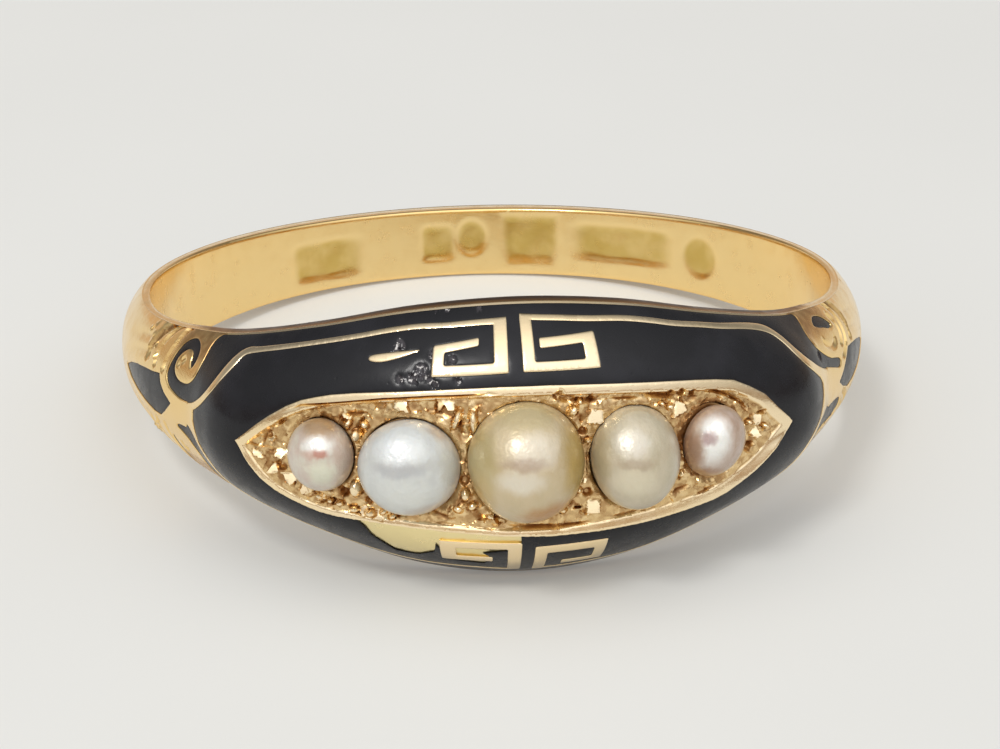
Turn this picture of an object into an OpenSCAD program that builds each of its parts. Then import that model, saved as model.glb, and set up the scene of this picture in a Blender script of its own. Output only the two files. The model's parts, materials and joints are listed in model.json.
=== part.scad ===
// Gold finger ring with a boat-shaped head, black enamel and five half pearls, lying as it comes to rest.

/* [Band] */
// Radius of the finger hole
bore_r = 8.6; // [8:0.1:9.4]
// Height of the bevel along both side edges
lip = 0.08; // [0.06:0.01:0.12]
// How far the shoulder ribs stand out
rib_h = 0.06; // [0.02:0.01:0.1]

/* [Enamel] */
// Depth of the recesses that hold the enamel and the pearls
recess = 0.28; // [0.2:0.01:0.32]
// How far the enamel lies below the gold around it
enamel_drop = 0.02; // [0.01:0.005:0.04]
// Clearance between enamel and gold
gap = 0.02; // [0.01:0.005:0.03]
// Width of the thin gold line round the main field
line_w = 0.15; // [0.1:0.01:0.2]
// Width of the gold left along the side edges
edge_w = 0.1; // [0.08:0.01:0.14]

/* [Pearls] */
// Width of the pointed rim round the pearls
rim_w = 0.2; // [0.14:0.01:0.24]
// Height of the pearls' centres above the bore
pearl_lift = 2.12; // [2.05:0.01:2.2]
// Clearance under each pearl
seat_gap = 0.03; // [0.02:0.01:0.05]
// Radius of the grains that hold the pearls
grain_r = 0.2; // [0.15:0.01:0.22]

/* [Hidden] */

// Sections of the ring. All angles run round the bore from the middle of the head.
// Columns: angle, half width, crown height over the bore, thickness at the edge, roundness
SECTIONS = [
    [0, 3.31, 2.20, 0.42, 4.0],
    [15, 3.11, 2.18, 0.42, 3.8],
    [30, 2.57, 2.12, 0.42, 3.0],
    [38, 2.27, 2.06, 0.42, 2.5],
    [42, 2.13, 1.92, 0.42, 2.3],
    [46, 2.00, 1.62, 0.41, 2.2],
    [50, 1.90, 1.32, 0.38, 2.1],
    [55, 1.80, 1.12, 0.35, 2.1],
    [62, 1.65, 0.98, 0.30, 2.2],
    [75, 1.45, 0.82, 0.24, 2.3],
    [90, 1.34, 0.76, 0.24, 2.3],
    [120, 1.16, 0.84, 0.34, 2.3],
    [150, 1.02, 0.95, 0.58, 2.1],
    [180, 0.98, 1.00, 0.70, 2.0],
];
HALF_WIDTH = 1;
CROWN = 2;
EDGE = 3;
ROUNDNESS = 4;

// Outline of the pointed rim. Columns: angle, half height
RIM = [[0, 1.74], [9, 1.68], [15, 1.59], [22, 1.44], [27.5, 1.22], [31, 0.88], [34.3, 0.44], [37, 0.06]];
// Middle of the thin gold line. Columns: angle, height
LINE = [[0, 3.00], [6, 2.94], [11, 2.87], [18, 2.69], [25, 2.43], [31, 2.18], [36, 2.00], [40, 1.82],
    [41.2, 1.62], [42.2, 1.36], [43.4, 1.05], [45, 0.72], [47.5, 0.45], [50, 0.28]];
// Foot of the knot and of the scroll, and edge of the shoulder panel. Columns: angle, height
SHOULDER = [[48.8, 0.25], [52, 0.20], [55.5, 0.22], [58.5, 0.60], [64, 0.45], [70, 0.28], [76, 0.10]];
// Lower edge of the scroll. Columns: angle, height
SCROLL = [[49.6, 0.95], [52, 0.66], [55.5, 0.62]];

// Greek keys. Columns: side of the mid plane, near edge at the middle gap, far edge, free end of the inner
// bar, width of the near bar, width of the far bar
KEYS = [
    [1, -1.9, -11.3, -5.6, 1.9, 1.8],
    [1, -0.1, 10.0, 2.4, 1.9, 2.1],
    [-1, -0.5, -10.7, -3.9, 1.85, 1.2],
    [-1, 1.1, 10.3, 4.9, 1.85, 1.3],
];
// Heights of the keys' bars, as shares of the way from the rim to the thin line
KEY_BARS = [0.26, 0.47, 0.67, 0.81];
KEY_REACH = 11.5;

// Where enamel is lost. Columns: side, from angle, to angle, first band, last band
LOST = [[1, -19.5, -13.3, 4, 4], [-1, -20, -0.5, 2, 4], [-1, -20, -10.7, 5, 5]];

// Half pearls. Columns: angle, height, radius
PEARLS = [[-25.2, 0.05, 0.83], [-14.0, -0.12, 1.16], [0, 0.05, 1.33], [13.4, -0.06, 1.12],
    [24.2, 0.08, 0.83]];
// Grains between the pearls. Columns: angle, height, mirrored below the mid plane
GRAINS = [[-31, 0.36], [-20, 0.88], [-7.3, 1.06], [7.0, 1.06], [19.1, 0.86], [30, 0.42]];

// Angles of the features along the ring
floor_end = 35;
rim_end = 37;
field_end = 48.8;
scroll_start = 49.6;
band_end = 55.5;
panel_start = 58.5;
panel_end = 76;
rib_end = 79;
rib_pitch = 6;
// How far the ribs lean along the ring for each mm of height, and the lengths over which they rise and fade
rib_lean = 2.5;
rib_rise = 3;
rib_fade = 6;

// Middle radius of the thin line and of the enamel, which turn widths into angles
line_r = bore_r + 1.3;
enamel_r = bore_r + 1.9;
// Width of the gold between the knots and the strips above them
knot_w = 0.12;
// How far the slope of the side edges would run on inside the bore
side_reach = 0.3;
// How high the grains' centres lie over the floor, and how many sides they have
grain_lift = 0.08;
grain_sides = 10;
// Sizes of the shapes that only cut
bore_cut_h = 20;
pearl_cut_w = 4;

// Bands between two rows, counted from the mid plane
RIM_BAND = 1;
FOOT_BAND = 3;
INNER_BAND = 5;
LAST_FIELD_BAND = 6;
LINE_BAND = 7;
OUTER_BAND = 8;
ROWS = 10;

// How the ring lies: on the inner edge of the head and the outer edge of the band behind it
front_drop = SECTIONS[0][HALF_WIDTH];
back_drop = SECTIONS[len(SECTIONS) - 1][HALF_WIDTH] - lip;
back_reach = bore_r + SECTIONS[len(SECTIONS) - 1][EDGE];
tilt = atan((front_drop - back_drop) / (bore_r + back_reach));
lift = front_drop * cos(tilt) - bore_r * sin(tilt);
// The middle pearl reaches furthest to the front, the back of the band furthest to the back
front_y = (bore_r + pearl_lift) * cos(tilt) + PEARLS[2][2];
back_y = (bore_r + SECTIONS[len(SECTIONS) - 1][CROWN]) * cos(tilt);
centre_y = (front_y - back_y) / 2;

// Smooth curve through a table's rows, level at the first row
function find_row(table, x, i = 0) =
    i >= len(table) - 2 || x < table[i + 1][0] ? i : find_row(table, x, i + 1);
function slope(table, i, column) =
    let (a = max(i - 1, 0), b = min(i + 1, len(table) - 1))
    i == 0 ? 0 : (table[b][column] - table[a][column]) / (table[b][0] - table[a][0]);
function smooth(table, x, column) =
    let (i = find_row(table, x), h = table[i + 1][0] - table[i][0], u = (x - table[i][0]) / h)
    (2 * u ^ 3 - 3 * u ^ 2 + 1) * table[i][column] + (u ^ 3 - 2 * u ^ 2 + u) * h * slope(table, i, column)
    + (3 * u ^ 2 - 2 * u ^ 3) * table[i + 1][column] + (u ^ 3 - u ^ 2) * h * slope(table, i + 1, column);

function half_width(angle) = smooth(SECTIONS, abs(angle), HALF_WIDTH);

// Ribs of the shoulders, which run aslant beside the enamel panel and fade out along the band
function rib(angle, z) =
    let (a = abs(angle), fade = min(1, (a - panel_start) / rib_rise) * min(1, (rib_end - a) / rib_fade))
    a <= panel_start || a >= rib_end || abs(z) <= lookup(a, SHOULDER) ? 0
    : rib_h * fade * cos(360 * (a + rib_lean * abs(z)) / rib_pitch);

// Outer surface of the gold, as a radius
function skin(angle, z) =
    let (a = abs(angle), edge = smooth(SECTIONS, a, EDGE), crown = smooth(SECTIONS, a, CROWN),
        t = min(1, abs(z) / (half_width(a) - lip)))
    bore_r + edge + (crown - edge) * (1 - t ^ smooth(SECTIONS, a, ROUNDNESS)) + rib(angle, z);

// Height of the thin line's lower edge (way -1) or upper edge (way 1), its width kept square to the line
function line_edge(a, way, extra) =
    let (step = 0.2, run = 2 * step * line_r * PI / 180,
        rise = (lookup(a + step, LINE) - lookup(a - step, LINE)) / run)
    lookup(a, LINE) + way * (line_w / 2 + extra) * sqrt(1 + rise ^ 2);

// Height of a row above the mid plane. An extra of zero gives the gold, and the gap gives the enamel.
function row_z(angle, row, extra) =
    let (a = abs(angle), corner = half_width(a) - lip, in_keys = a < KEY_REACH ? extra : 0,
        foot = a < field_end ? line_edge(a, -1, extra)
            : lookup(a, SHOULDER) - (a >= panel_start ? extra : 0),
        rim = a <= rim_end ? lookup(a, RIM) + extra : min(RIM[len(RIM) - 1][1], foot / 4),
        even = corner * row / ROWS)
    row == 0 ? 0
    : row == ROWS ? corner
    : a > panel_end ? even
    : row == 1 ? (a <= rim_end ? max(lookup(a, RIM) - rim_w, lookup(a, RIM) * 0.4) : rim / 2)
    : row == 2 ? rim
    : row <= 6 ? lookup(a, RIM) < 0.1 ? rim + (foot - rim) * (row - 2) / 5
        : key_row(lookup(a, RIM), line_edge(a, -1, 0), row) + (row % 2 == 1 ? -in_keys : in_keys)
    : row == 7 ? foot
    : row == 8 ? (a < field_end ? line_edge(a, 1, extra) : lookup(a, SHOULDER) + knot_w + extra)
    : (a >= scroll_start && a <= band_end ? lookup(a, SCROLL) : corner - edge_w) - extra;
function key_row(rim, foot, row) = rim + (foot - rim) * KEY_BARS[row - 3];

// Every angle at which the keys have an edge, with the way the enamel draws back from it
function key_edges(key) =
    let (way = sign(key[2] - key[1]))
    [[key[1], -way], [key[1] + way * key[4], way], [key[3], -way], [key[2] - way * key[5], -way],
        [key[2], way]];
function sorted(list) = len(list) < 2 ? list
    : let (pivot = list[floor(len(list) / 2)])
    concat(sorted([for (x = list) if (x < pivot) x]), [pivot], sorted([for (x = list) if (x > pivot) x]));
SIDE_ANGLES = [13.3, 16, 20, 24, 27.5, 31, 32.7, floor_end, rim_end, 38.6, 40, 41.2, 42.2, 43.4, 45, 47,
    field_end, scroll_start, 51, 52, 54, band_end, 57, panel_start, for (a = [60:1.5:78]) a, 84,
    for (a = [90:9:171]) a];
ANGLES = sorted([for (key = KEYS) for (edge = key_edges(key)) edge[0], for (a = SIDE_ANGLES) a,
    for (a = SIDE_ANGLES) -a, LOST[0][1], -180]);
COLUMNS = len(ANGLES);

// How far the enamel draws back along the ring at an edge, in degrees
function draw_back(angle, side, row, extra) =
    let (a = abs(angle), turn = extra / enamel_r * 180 / PI, way = sign(angle),
        found = [for (key = KEYS) if (key[0] == side)
            for (edge = key_edges(key)) if (edge[0] == angle) edge[1]])
    len(found) > 0 && row > 2 ? found[0] * turn
    : a == rim_end && row <= 2 ? way * turn
    : a == field_end && row <= 7 ? -way * turn
    : (a == field_end || a == scroll_start || a == band_end) && row >= 8 ? -way * turn
    : a == panel_start && row <= 7 ? way * turn
    : 0;

function in_key(angle, band, side) =
    len([for (key = KEYS) let (way = sign(key[2] - key[1]), from_near = (angle - key[1]) * way,
        to_far = (key[2] - angle) * way, past_free = (angle - key[3]) * way)
        if (key[0] == side && from_near > 0 && to_far > 0 && band >= FOOT_BAND && (
            from_near < key[4] || band == FOOT_BAND || (to_far < key[5] && band <= INNER_BAND)
            || (band == INNER_BAND && past_free > 0))) 1]) > 0;
function in_gap(angle, side) =
    let (ends = [for (key = KEYS) if (key[0] == side) key[1]])
    angle > min(ends) && angle < max(ends);
function in_list(list, angle, band, side) =
    len([for (row = list) if (row[0] == side && angle > row[1] && angle < row[2]
        && band >= row[3] && band <= row[4]) 1]) > 0;

// Where the gold is cut back, and where enamel fills it
function is_floor(a, band) = a < floor_end && band < RIM_BAND;
function is_field(angle, band, side) =
    let (a = abs(angle))
    a < field_end && band <= LAST_FIELD_BAND && band > (a > rim_end ? -1 : RIM_BAND)
    && !(band >= FOOT_BAND && in_key(angle, band, side));
function is_band(a, band) = a < band_end && band == OUTER_BAND;
function is_panel(a, band) = a > panel_start && a < panel_end && band <= LAST_FIELD_BAND;
function is_head_recess(angle, band, side) =
    is_field(angle, band, side) || is_band(abs(angle), band)
    || (band == LINE_BAND && abs(angle) < KEY_REACH && in_gap(angle, side));
function is_cut(angle, band, side) =
    is_head_recess(angle, band, side) || is_floor(abs(angle), band) || is_panel(abs(angle), band);
function is_head_enamel(angle, band, side) =
    is_head_recess(angle, band, side) && !in_list(LOST, angle, band, side);

// A point on the ring in its own frame, where the front is at -Y and the bore runs along Z
function ring_point(radius, angle, z) = [radius * sin(angle), -radius * cos(angle), z];
function grid_point(column, j, depth, extra) =
    let (side = j < 0 ? -1 : 1, row = abs(j), angle = ANGLES[column % COLUMNS],
        turned = angle + (extra > 0 ? draw_back(angle, side, row, extra) : 0),
        z = side * row_z(angle, row, extra))
    ring_point(skin(turned, z) - depth, turned, z);

// Numbers of the tiles' corners in a layer that holds every row of every column
JS = 2 * ROWS + 1;
function corner(layer, column, j) = (layer * COLUMNS + column % COLUMNS) * JS + j + ROWS;
function tile_angle(column) =
    let (a = ANGLES[column], b = column + 1 < COLUMNS ? ANGLES[column + 1] : 180)
    (a + b) / 2;
function quad(a, b, c, d) = [[a, b, c], [a, c, d]];
function tile_face(layer, column, j) =
    quad(corner(layer, column, j), corner(layer, column, j + 1), corner(layer, column + 1, j + 1),
        corner(layer, column + 1, j));
function row_wall(top, low, column, j) =
    quad(corner(low, column, j), corner(low, column + 1, j),
        corner(top, column + 1, j), corner(top, column, j));
function column_wall(top, low, column, j) =
    quad(corner(low, column, j + 1), corner(low, column, j),
        corner(top, column, j), corner(top, column, j + 1));
function flipped(faces) = [for (f = faces) [f[2], f[1], f[0]]];
function band_of(j) = j < 0 ? -j - 1 : j;
function side_of(j) = j < 0 ? -1 : 1;

// The gold as one closed form: raised tiles, cut tiles a step lower, and the walls between them
module gold_form() {
    cut = [for (i = [0:COLUMNS - 1]) [for (j = [-ROWS:ROWS - 1])
        is_cut(tile_angle(i), band_of(j), side_of(j))]];
    points = concat(
        [for (depth = [0, recess]) for (i = [0:COLUMNS - 1]) for (j = [-ROWS:ROWS])
            grid_point(i, j, depth, 0)],
        [for (side = [-1, 1]) for (i = [0:COLUMNS - 1])
            ring_point(bore_r - side_reach, ANGLES[i], side * half_width(ANGLES[i]))]);
    bore_start = 2 * COLUMNS * JS;
    faces = [
        for (i = [0:COLUMNS - 1]) each [
            for (j = [-ROWS:ROWS - 1]) each tile_face(cut[i][j + ROWS] ? 1 : 0, i, j),
            for (j = [-ROWS + 1:ROWS - 1])
                if (cut[i][j + ROWS] != cut[i][j + ROWS - 1])
                    each (cut[i][j + ROWS] ? row_wall(0, 1, i, j) : flipped(row_wall(0, 1, i, j))),
            for (j = [-ROWS:ROWS - 1])
                let (before = cut[(i + COLUMNS - 1) % COLUMNS][j + ROWS])
                if (cut[i][j + ROWS] != before)
                    each (before ? flipped(column_wall(0, 1, i, j)) : column_wall(0, 1, i, j)),
            let (next = (i + 1) % COLUMNS, low = bore_start + i, low_next = bore_start + next,
                high = low + COLUMNS, high_next = low_next + COLUMNS)
            each concat(
                quad(low, corner(0, i, -ROWS), corner(0, i + 1, -ROWS), low_next),
                quad(corner(0, i, ROWS), high, high_next, corner(0, i + 1, ROWS)),
                quad(high, low, low_next, high_next)),
        ],
    ];
    polyhedron(points, faces);
}

// Enamel that fills chosen tiles, clear of the gold by the gap
module enamel_form(fill) {
    points = [for (depth = [enamel_drop, recess - gap]) for (i = [0:COLUMNS - 1]) for (j = [-ROWS:ROWS])
        grid_point(i, j, depth, gap)];
    faces = [
        for (i = [0:COLUMNS - 1]) for (j = [-ROWS:ROWS - 1])
            if (fill[i][j + ROWS]) each concat(
                tile_face(0, i, j),
                flipped(tile_face(1, i, j)),
                j < ROWS - 1 && fill[i][j + ROWS + 1] ? [] : row_wall(0, 1, i, j + 1),
                j > -ROWS && fill[i][j + ROWS - 1] ? [] : flipped(row_wall(0, 1, i, j)),
                fill[(i + 1) % COLUMNS][j + ROWS] ? [] : column_wall(0, 1, i + 1, j),
                fill[(i + COLUMNS - 1) % COLUMNS][j + ROWS] ? [] : flipped(column_wall(0, 1, i, j))),
    ];
    polyhedron(points, faces);
}

// Puts what is drawn round the bore's centre into the pose in which the ring lies
module lying() {
    translate([0, centre_y, lift]) rotate([-tilt, 0, 0]) children();
}

module grain(angle, z) {
    translate(ring_point(skin(angle, z) - recess + grain_lift, angle, z))
        sphere(r = grain_r, $fn = grain_sides);
}

module gold_ring() {
    color("#dfb069") lying() difference() {
        resize([0, 0, 0]) union() {
            gold_form();
            for (g = GRAINS, side = [-1, 1]) grain(g[0], side * g[1]);
        }
        cylinder(r = bore_r, h = bore_cut_h, center = true, $fn = 180);
    }
}

module head_enamel() {
    color("#17171a") lying() enamel_form([for (i = [0:COLUMNS - 1]) [for (j = [-ROWS:ROWS - 1])
        is_head_enamel(tile_angle(i), band_of(j), side_of(j))]]);
}

module shoulder_enamel(side) {
    color("#17171a") lying() enamel_form([for (i = [0:COLUMNS - 1]) [for (j = [-ROWS:ROWS - 1])
        sign(tile_angle(i)) == side && is_panel(abs(tile_angle(i)), band_of(j))]]);
}

// A half pearl: a ball with its underside cut flat, on the floor inside the rim
module pearl(number) {
    p = PEARLS[number - 1];
    underside = skin(p[0], p[1]) - recess + seat_gap - bore_r - pearl_lift;
    color("#ded6c4") lying() rotate([0, 0, p[0]]) translate([0, -bore_r - pearl_lift, p[1]])
        rotate([90, 0, 0]) difference() {
            sphere(r = p[2], $fn = 48);
            translate([-pearl_cut_w / 2, -pearl_cut_w / 2, underside - pearl_cut_w]) cube(pearl_cut_w);
        }
}

gold_ring();
head_enamel();
shoulder_enamel(-1);  // left_shoulder_enamel
shoulder_enamel(1);  // right_shoulder_enamel
pearl(1);  // pearl_1
pearl(2);  // pearl_2
pearl(3);  // pearl_3
pearl(4);  // pearl_4
pearl(5);  // pearl_5
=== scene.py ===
import json
from math import atan2, copysign, cos, hypot, radians, sin, sqrt

import bpy
import numpy as np
from mathutils import Matrix, Vector, geometry, kdtree


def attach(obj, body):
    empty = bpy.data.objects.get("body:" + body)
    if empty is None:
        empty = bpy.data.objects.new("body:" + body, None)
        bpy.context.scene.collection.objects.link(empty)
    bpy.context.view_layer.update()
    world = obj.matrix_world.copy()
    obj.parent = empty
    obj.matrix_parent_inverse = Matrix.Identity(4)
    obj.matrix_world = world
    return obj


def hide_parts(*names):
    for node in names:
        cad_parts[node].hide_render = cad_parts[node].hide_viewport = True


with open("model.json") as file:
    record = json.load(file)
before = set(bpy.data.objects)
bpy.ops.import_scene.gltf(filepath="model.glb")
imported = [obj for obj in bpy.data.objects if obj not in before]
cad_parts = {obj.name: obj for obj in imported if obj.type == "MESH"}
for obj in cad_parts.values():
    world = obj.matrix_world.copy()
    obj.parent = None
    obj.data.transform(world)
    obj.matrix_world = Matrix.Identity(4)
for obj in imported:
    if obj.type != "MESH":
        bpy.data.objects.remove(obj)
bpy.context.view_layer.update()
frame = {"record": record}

# Lengths are in millimetres in the ring's own frame: the bore runs along Z and the head's front is at -Y.
# Angles are in degrees round the bore from the front, positive to the right.
MM = .001
BORE_R = 8.6
LIP = .08
SIDE_REACH = .3
EDGE_WEAR, EDGE_WEAR_WIDTH = .03, .08
# Length of a degree on the plan of the head
ARC = radians(BORE_R + 2.1)
HEAD_END = 82.0

# Columns: angle, half width, crown height over the bore, thickness at the edge, roundness
SECTIONS = np.array([[0,3.31,2.2,.42,4], [15,3.11,2.18,.42,3.8], [30,2.57,2.12,.42,3], [38,2.27,2.06,.42,2.5],
    [42,2.13,1.92,.42,2.3], [46,2,1.62,.41,2.2], [50,1.9,1.32,.38,2.1], [55,1.8,1.12,.35,2.1],
    [62,1.65,.98,.3,2.2], [75,1.45,.82,.24,2.3], [90,1.34,.76,.24,2.3], [120,1.16,.84,.34,2.3],
    [150,1.02,.95,.58,2.1], [180,.98,1,.7,2]])
HALF_WIDTH, CROWN, EDGE, ROUNDNESS = 1, 2, 3, 4

# Outline of the pointed rim round the pearls. Columns: angle, height
RIM_UPPER = [(-37.5,.02), (-36,.23), (-34,.53), (-32,.8), (-30,1.03), (-28,1.2), (-26,1.31), (-24,1.4),
    (-21,1.49), (-17,1.57), (-13,1.63), (-8,1.7), (-3,1.74), (3,1.74), (8,1.7), (13,1.64), (18,1.56),
    (22,1.48), (25,1.4), (27.6,1.3), (29.8,1.1), (32,.85), (34,.47), (36,.14)]
RIM_LOWER = [(36.6,.02), (36,-.1), (34,-.36), (32,-.67), (30,-.93), (28,-1.13), (26,-1.32), (24,-1.43),
    (20,-1.55), (15,-1.68), (9,-1.77), (3,-1.81), (-3,-1.77), (-8,-1.68), (-13,-1.6), (-18,-1.53),
    (-24,-1.48), (-26,-1.43), (-28,-1.33), (-30,-1.2), (-32,-1.03), (-34,-.75), (-36,-.32)]

# Thin gold line round the main field. Columns: angle, height, width
LINE_LEFT = [(-1.85,2.96,.1), (-6,2.92,.09), (-10,2.86,.08), (-14,2.8,.08), (-18,2.68,.08), (-22,2.52,.08),
    (-26,2.36,.08), (-30,2.2,.08), (-34,2.04,.09), (-38,1.88,.1), (-40.3,1.77,.15), (-41.5,1.54,.25),
    (-43,1.12,.2), (-44.3,.82,.17), (-46,.54,.17), (-48,.33,.18), (-50,.19,.2), (-52.5,.11,.25)]
LINE_RIGHT = [(-.05,3.01,.09), (5,2.96,.09), (9,2.9,.09), (14,2.82,.09), (18,2.7,.09), (22,2.54,.09),
    (26,2.4,.09), (30,2.25,.1), (34,2.12,.11), (37,2,.13), (39,1.87,.16), (40.3,1.66,.18), (41.4,1.36,.2),
    (42.9,1.08,.22), (44.6,.86,.24), (46.4,.66,.26), (49,.47,.27), (52.5,.26,.28)]
LINE_LEFT_LOW = [(-1.85, -3, .09)] + [(a, -z, w) for a, z, w in LINE_LEFT[1:11]] + [
    (-42, -1.66, .13), (-43.6, -1.48, .12), (-44.8, -1.22, .12), (-45.6, -.93, .13),
    (-46.9, -.67, .14), (-48.6, -.38, .16), (-50.2, -.2, .2), (-52.5, -.1, .25)]
LINE_RIGHT_LOW = [(a, -z, w) for a, z, w in LINE_RIGHT[:10]] + [
    (38.8, -1.86, .12), (40.2, -1.52, .13), (41.2, -1.12, .14), (42.4, -.76, .15), (44.2, -.48, .17),
    (46.4, -.32, .2), (49, -.24, .24), (52.5, -.22, .28)]

# End of the black strip beside each scroll, from the side edge to the line. Columns: angle, height
STRIP_LEFT = [(-44,1.98), (-46,1.94), (-47.6,1.86), (-48.6,1.74), (-49,1.58), (-49,1.3), (-49.3,1.02),
    (-50.1,.8), (-51.5,.67), (-53.6,.64), (-55.1,.71), (-56,.85), (-56.1,1.03), (-55.5,1.19), (-54.5,1.31),
    (-53.4,1.34), (-52.5,1.27), (-52.2,1.13), (-51.6,1.02), (-51,1.12), (-50.9,1.32), (-51.7,1.49),
    (-53.3,1.58), (-54.9,1.52), (-56.2,1.37), (-57.1,1.12), (-57.7,.84), (-57.8,.6), (-56.8,.42), (-54.9,.32),
    (-52.6,.27), (-50.4,.3)]
STRIP_RIGHT = [(42,2.06), (45,1.98), (47.4,1.9), (48.8,1.78), (48.7,1.62), (48.2,1.46), (48.3,1.28),
    (49,1.09), (50.1,.94), (51.4,.8), (53.4,.64), (55.4,.55), (56.9,.47), (57,.36), (55.9,.29), (53.4,.41),
    (50.4,.56)]
STRIP_LEFT_LOW = [(-44,-1.98), (-46,-1.92), (-47.6,-1.82), (-48.6,-1.64), (-49.2,-1.36), (-49.7,-1.08),
    (-50.6,-.86), (-51.8,-.68), (-53.4,-.56), (-54.6,-.49), (-53.8,-.42), (-51.4,-.38)]
STRIP_RIGHT_LOW = [(42,-2.06), (45,-1.98), (47.4,-1.9), (49,-1.76), (49.3,-1.5), (49.8,-1.22), (51.4,-1.04),
    (54,-1), (56.6,-.94), (57.8,-.74), (57.2,-.54), (54.8,-.46), (51,-.46)]
SLIT_LEFT_LOW = [(-57.6,-.86), (-58.2,-1), (-57.6,-1.26), (-56.6,-1.46), (-55.4,-1.58), (-54.6,-1.6),
    (-55.6,-1.42), (-56.7,-1.2), (-57.3,-1)]
EYE_RIGHT = [(52.3,1.44), (53.4,1.56), (55.2,1.53), (57,1.4), (58.3,1.22), (57.2,1.17), (55.3,1.26),
    (53.6,1.33)]
# Shoulder panels. Columns: angle, height
PANEL_LEFT = [(-56,0), (-58.2,.17), (-59.6,.36), (-60.3,.55), (-62.8,.49), (-66,.44), (-70,.36), (-74,.22),
    (-77,.04), (-74,-.16), (-70,-.3), (-66,-.41), (-62.5,-.49), (-60.2,-.48), (-58.4,-.3)]
PANEL_RIGHT = [(56,-.08), (58,.1), (60,.34), (61.7,.52), (64,.5), (68,.42), (72,.28), (76,.05), (72,-.18),
    (68,-.34), (64.5,-.44), (61.4,-.46), (58.3,-.3)]

# Greek keys. Columns: side of the mid plane, near edge, far edge, free end of the inner bar, widths of the
# near and far bar, heights of the foot, its far edge, the inner bar, its far edge and the line, fall of the
# far bar, rise of the inner bar's free end
KEYS = [
    (1,-1.85,-11.3,-5.5,1.75,1.45,2.02,2.22,2.46,2.6,2.98,.09,.09),
    (1,-.08,9.55,2.2,1.55,1.75,2.03,2.22,2.52,2.7,3.03,.01,-.05),
    (-1,-.5,-10.8,-4.2,1.75,2,2,2.19,2.44,2.62,3.03,.08,0),
    (-1,1.2,10.45,4.9,1.6,1.55,2.13,2.36,2.68,2.84,3.05,.08,0),
]
KEY_CORNER = .05
DASH = [(-19.7,2.2), (-19,2.26), (-16.5,2.34), (-13.2,2.42), (-14.2,2.33), (-17.5,2.16), (-19.3,2.14)]
# Where enamel has come off and the gold floor shows. Columns: angle, height
BARE = [(-21.4,-1.45), (-20,-1.75), (-19.6,-1.93), (-18.2,-2.17), (-17,-2.4), (-14,-2.46), (-11.6,-2.3),
    (-11.3,-2.05), (-10.7,-2.2), (-10.6,-2.54), (-5.3,-2.7), (-4.4,-2.45), (-5.4,-2.3), (-3,-2.24), (-1,-2.2),
    (-.55,-1.95), (-.9,-1.5)]
# Chips in the enamel. Columns: angle, height, radius
PITS = [(-12.6,2.02,.17), (-13.6,1.88,.13), (-11.6,1.9,.12), (-15.8,2.44,.15), (-10.9,1.78,.1),
    (-15.1,1.84,.1), (-11.3,2.34,.1), (-8.8,2.26,.1), (-8,1.86,.08), (48.6,.9,.1), (-17.6,3.02,.08),
    (-15.4,3.05,.08), (-11.6,3.1,.09), (-10,3.12,.08), (-5.6,3.14,.07)]

# Half pearls. Columns: angle, height, radius along and across the ring, reach, lean to the right and up
PEARLS = [(-25.1,.02,.79,.84,.81,.12,.05), (-14,-.12,1.15,1.13,1.15,-.04,.13), (0,.02,1.31,1.36,1.305,0,-.07),
    (13.3,-.05,1.04,1.17,1.12,-.06,-.11), (23.9,.03,.76,.87,.82,-.18,.26)]
PEARL_LIFT = 2.12
RECESS = .28


def find_pose():
    """The turn and shift that lay the ring on the floor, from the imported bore."""
    bore = next(m for m in frame["record"]["mounts"] if m["kind"] == "bore")
    axis = Vector(bore["axis"]).normalized()
    return Matrix.Translation(bore["pos_m"]) @ Matrix.Rotation(-atan2(axis.y, axis.z), 4, "X")


POSE = find_pose()


def laid(points):
    """Points in the ring's frame as metres in the shared frame."""
    m = np.array(POSE)
    return points * MM @ m[:3, :3].T + m[:3, 3]


def unit(x):
    return np.clip(x, 0, 1)


def length(v):
    return np.linalg.norm(v, axis=-1)


def normed(v):
    return v / np.maximum(length(v), 1e-9)[:, None]


def ease(x, low, high):
    """A smooth step from 0 at low to 1 at high."""
    t = unit((x - low) / (high - low))
    return t * t * (3 - 2 * t)


def fade(x, low, high):
    return 1 - ease(x, low, high)


def bell(x, middle, width):
    return np.exp(-((x - middle) / width) ** 2)


def darken(dirt_and_shade, level):
    np.maximum(dirt_and_shade, level, out=dirt_and_shade)


def toward(degrees):
    a = radians(degrees)
    return np.array([cos(a), sin(a)])


def section(angle, column):
    """Smooth curve through a column of the sections, level at the first row."""
    x, a, y = np.abs(angle), SECTIONS[:, 0], SECTIONS[:, column]
    slope = np.zeros(len(a))
    slope[1:-1] = (y[2:] - y[:-2]) / (a[2:] - a[:-2])
    slope[-1] = (y[-1] - y[-2]) / (a[-1] - a[-2])
    i = np.clip(np.searchsorted(a, x, side="right") - 1, 0, len(a) - 2)
    h, rise = a[i + 1] - a[i], y[i + 1] - y[i]
    u, s0, s1 = (x - a[i]) / h, h * slope[i], h * slope[i + 1]
    return y[i] + u * (s0 + u * (3 * rise - 2 * s0 - s1 + u * (s0 + s1 - 2 * rise)))


def corner_z(angle):
    return section(angle, HALF_WIDTH) - LIP


def skin(angle, z):
    """Radius of the outer surface, worn along both side edges."""
    edge, crown, power = (section(angle, k) for k in (EDGE, CROWN, ROUNDNESS))
    corner = corner_z(angle)
    worn = EDGE_WEAR * unit(1 - (corner - np.abs(z)) / EDGE_WEAR_WIDTH) ** 2
    return BORE_R + edge + (crown - edge) * (1 - unit(np.abs(z) / corner) ** power) - worn


def ring_points(radius, angle, z):
    a = np.radians(angle)
    return np.stack([radius * np.sin(a), -radius * np.cos(a), z + 0 * a], -1)


# Curves in the flat plan of the head, in millimetres along and across it

def plan(rows):
    return np.array([(row[0] * ARC, row[1]) for row in rows])


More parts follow.
